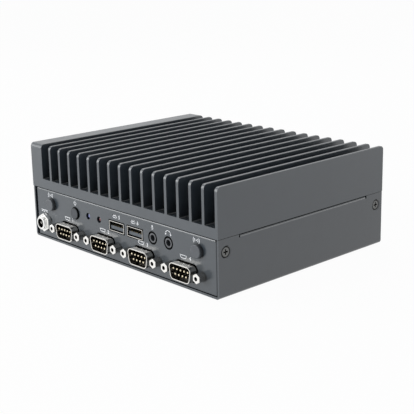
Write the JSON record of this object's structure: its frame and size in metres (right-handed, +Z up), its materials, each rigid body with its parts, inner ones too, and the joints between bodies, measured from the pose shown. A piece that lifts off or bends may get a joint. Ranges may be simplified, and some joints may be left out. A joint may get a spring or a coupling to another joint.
{
  "type": "edge computer",
  "caption": "Fanless industrial box computer: a finned heatsink lid on a folded sheet case, with serial, USB and audio sockets and a sprung power button on the front.",
  "frame": {"origin": "on the surface the feet stand on, under the middle of the whole object's box", "axes": "+X to the right seen from the front with the serial ports, +Y from that front to the rear, +Z up"},
  "size_m": [0.164, 0.136, 0.0604],
  "materials": {
    "sink_black": "black powder-coated extrusion, satin",
    "case_black": "black powder-coated steel sheet, satin",
    "screw_black": "black oxide",
    "nickel": "bright nickel plate",
    "steel": "plain plated steel",
    "brass": "gold-flashed or bare brass",
    "bare_aluminium": "milled",
    "black_plastic": "moulded, fine grain",
    "grey_plastic": "moulded",
    "board_green": "solder-masked circuit board",
    "chip_black": "moulded chip package",
    "pad_grey": "soft thermal pad",
    "foot_rubber": "matt rubber",
    "button_black": "satin black cap",
    "lens_blue": "tinted lens, unlit",
    "lens_red": "tinted lens, unlit"
  },
  "bodies": {
    "case": {"antenna_plug_left": "foot_rubber", "antenna_plug_right": "foot_rubber", "audio_jack_left": "grey_plastic", "audio_jack_right": "grey_plastic", "base_inserts": "steel", "base_screws": "screw_black", "battery_holder": "black_plastic", "block_screws": "steel", "board_posts": "brass", "board_screws": "steel", "chassis": "case_black", "clock_battery": "steel", "dc_inlet": "nickel", "dc_inlet_pin": "brass", "dc_nut": "nickel", "dc_washer": "nickel", "front_panel": "case_black", "heat_block": "bare_aluminium", "heatsink": "sink_black", "io_board": "board_green", "jack_screws": "nickel", "led_disk": "lens_red", "led_power": "lens_blue", "link_header": "black_plastic", "link_socket": "black_plastic", "main_board": "board_green", "memory_module": "board_green", "memory_socket": "black_plastic", "network_insert_1": "black_plastic", "network_insert_2": "black_plastic", "network_shell_1": "nickel", "network_shell_2": "nickel", "panel_screws": "steel", "power_switch": "black_plastic", "processor": "chip_black", "rear_panel": "case_black", "rubber_feet": "foot_rubber", "serial_insulator_1": "black_plastic", "serial_insulator_2": "black_plastic", "serial_insulator_3": "black_plastic", "serial_insulator_4": "black_plastic", "serial_pins": "brass", "serial_shell_1": "nickel", "serial_shell_2": "nickel", "serial_shell_3": "nickel", "serial_shell_4": "nickel", "side_screws": "screw_black", "storage_module": "board_green", "storage_post": "brass", "storage_socket": "black_plastic", "thermal_pad": "pad_grey", "usb_shell_1": "nickel", "usb_shell_2": "nickel", "usb_shell_3": "nickel", "usb_shell_4": "nickel", "usb_tongues": "grey_plastic", "video_shell": "nickel", "video_tongue": "black_plastic"},
    "button": {"power_button": "button_black", "switch_plunger": "grey_plastic"}
  },
  "joints": [
    {"name": "power_press", "type": "slide", "parent": "case", "child": "button", "axis": [0, 1, 0], "range_m": [0, 0.0005], "stiffness_N_per_m": 3000, "springref_m": -0.0003}
  ]
}
